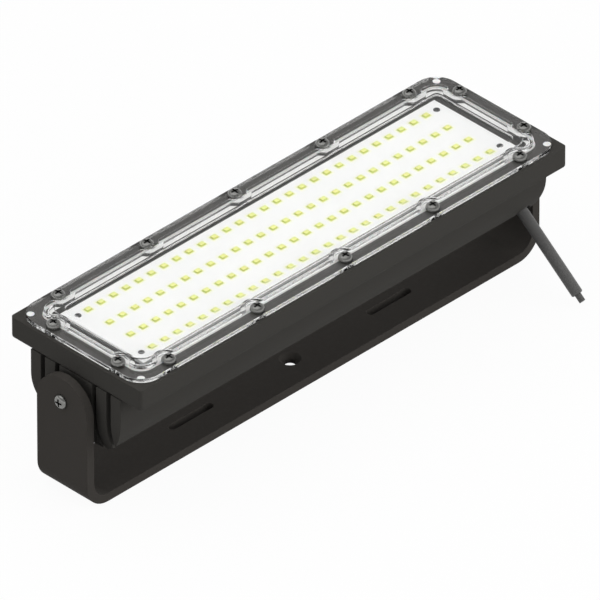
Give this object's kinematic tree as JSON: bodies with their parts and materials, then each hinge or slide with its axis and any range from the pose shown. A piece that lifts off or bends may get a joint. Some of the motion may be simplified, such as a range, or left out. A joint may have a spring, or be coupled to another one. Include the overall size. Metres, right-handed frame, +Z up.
{
  "type": "led flood light",
  "caption": "Long LED flood light with a scalloped clear cover over a board of LEDs, a finned half-round cast body and a tilting U-bracket.",
  "frame": {"origin": "middle of the underside of the bracket's base", "axes": "+X along the lamp, towards the end where the lead comes out; -Y the front, the long side that the lead leaves; +Z up, the way the light leaves at rest"},
  "size_m": [0.3316, 0.1169, 0.0902],
  "materials": {
    "bracket_paint": "satin",
    "housing_paint": "satin",
    "clear_polycarbonate": "gloss",
    "silicone_seal": "matte",
    "screw_steel": "polished",
    "white_nylon": "satin",
    "spacer_steel": "satin",
    "white_board": "satin",
    "led_frame": "gloss",
    "led_phosphor": "satin",
    "thermal_silicone": "matte",
    "wire_insulation": "satin",
    "cable_jacket": "satin",
    "core_insulation": "satin",
    "potting_resin": "matte"
  },
  "bodies": {
    "bracket": {"u_bracket": "bracket_paint"},
    "head": {"housing": "housing_paint", "lens_cover": "clear_polycarbonate", "cover_gasket": "silicone_seal", "cable_grommet": "silicone_seal", "cover_screws": "screw_steel", "board_screws": "screw_steel", "pivot_screw_left": "screw_steel", "pivot_screw_right": "screw_steel", "corner_plugs": "white_nylon", "friction_washer_left": "white_nylon", "friction_washer_right": "white_nylon", "pivot_spacer_left": "spacer_steel", "pivot_spacer_right": "spacer_steel", "led_board": "white_board", "led_packages": "led_frame", "led_phosphors": "led_phosphor", "thermal_pad": "thermal_silicone", "inner_wires": "wire_insulation", "power_cable": "cable_jacket", "cable_core": "core_insulation", "potting_plug": "potting_resin"}
  },
  "joints": [
    {"name": "head_tilt", "type": "hinge", "parent": "bracket", "child": "head", "pos_m": [0, 0, 0.0606], "axis": [1, 0, 0], "range_deg": [-90, 25]}
  ]
}
